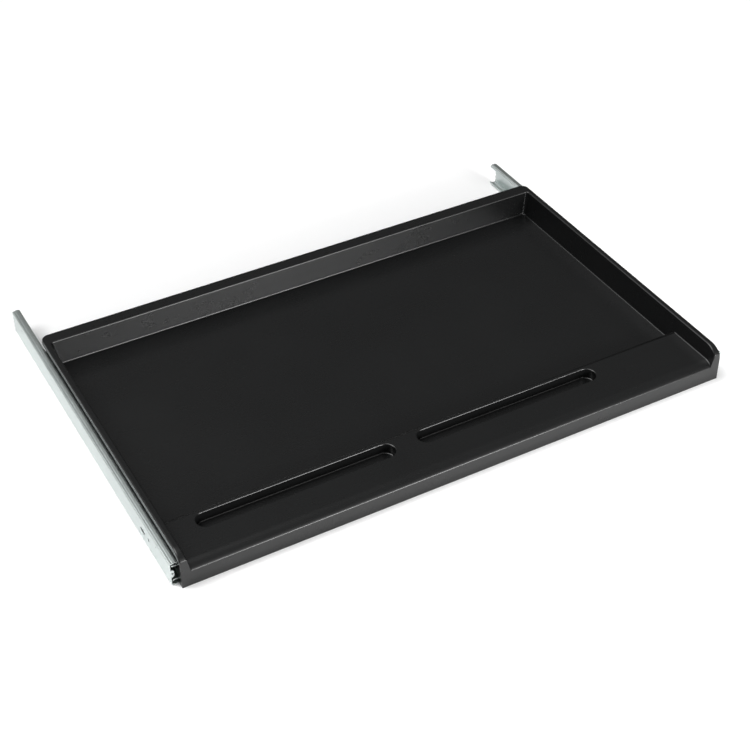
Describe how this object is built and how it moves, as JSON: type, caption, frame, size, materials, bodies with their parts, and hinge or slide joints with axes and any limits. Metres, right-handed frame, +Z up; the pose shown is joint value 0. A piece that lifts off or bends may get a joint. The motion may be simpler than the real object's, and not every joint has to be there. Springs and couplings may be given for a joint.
{
  "type": "under desk drawer",
  "caption": "Shallow moulded keyboard drawer with pen troughs, hung under a desk on two ball bearing slides.",
  "frame": {"origin": "centre of the drawer's footprint, rails included, in the plane of the underside of the tray", "axes": "+X to the right across the width, -Y to the front where the drawer opens, +Z up"},
  "size_m": [0.574, 0.407, 0.036],
  "materials": {
    "moulded_plastic": "fine texture, satin",
    "zinc_steel": "bright zinc plate",
    "cage_strip": "bright rolled strip",
    "ball_steel": "polished",
    "screw_steel": "zinc plate",
    "nylon": "natural moulded"
  },
  "bodies": {
    "desk_rails": {"left_outer_channel": "zinc_steel", "left_closing_bumper": "nylon", "right_outer_channel": "zinc_steel", "right_closing_bumper": "nylon"},
    "tray_carriage": {"tray": "moulded_plastic", "left_inner_channel": "zinc_steel", "left_screw_1": "screw_steel", "left_screw_2": "screw_steel", "left_screw_3": "screw_steel", "right_inner_channel": "zinc_steel", "right_screw_1": "screw_steel", "right_screw_2": "screw_steel", "right_screw_3": "screw_steel"},
    "left_cage": {"left_ball_cage": "cage_strip", "left_upper_ball_1": "ball_steel", "left_upper_ball_2": "ball_steel", "left_upper_ball_3": "ball_steel", "left_upper_ball_4": "ball_steel", "left_upper_ball_5": "ball_steel", "left_upper_ball_6": "ball_steel", "left_lower_ball_1": "ball_steel", "left_lower_ball_2": "ball_steel", "left_lower_ball_3": "ball_steel", "left_lower_ball_4": "ball_steel", "left_lower_ball_5": "ball_steel", "left_lower_ball_6": "ball_steel"},
    "right_cage": {"right_ball_cage": "cage_strip", "right_upper_ball_1": "ball_steel", "right_upper_ball_2": "ball_steel", "right_upper_ball_3": "ball_steel", "right_upper_ball_4": "ball_steel", "right_upper_ball_5": "ball_steel", "right_upper_ball_6": "ball_steel", "right_lower_ball_1": "ball_steel", "right_lower_ball_2": "ball_steel", "right_lower_ball_3": "ball_steel", "right_lower_ball_4": "ball_steel", "right_lower_ball_5": "ball_steel", "right_lower_ball_6": "ball_steel"}
  },
  "joints": [
    {"name": "tray_slide", "type": "slide", "parent": "desk_rails", "child": "tray_carriage", "axis": [0, -1, 0], "range_m": [0, 0.23]},
    {"name": "left_cage_roll", "type": "slide", "parent": "desk_rails", "child": "left_cage", "axis": [0, -1, 0], "range_m": [0, 0.115]},
    {"name": "right_cage_roll", "type": "slide", "parent": "desk_rails", "child": "right_cage", "axis": [0, -1, 0], "range_m": [0, 0.115]}
  ],
  "couplings": [
    {"joint": "left_cage_roll", "follows": "tray_slide", "ratio": 0.5},
    {"joint": "right_cage_roll", "follows": "tray_slide", "ratio": 0.5}
  ]
}
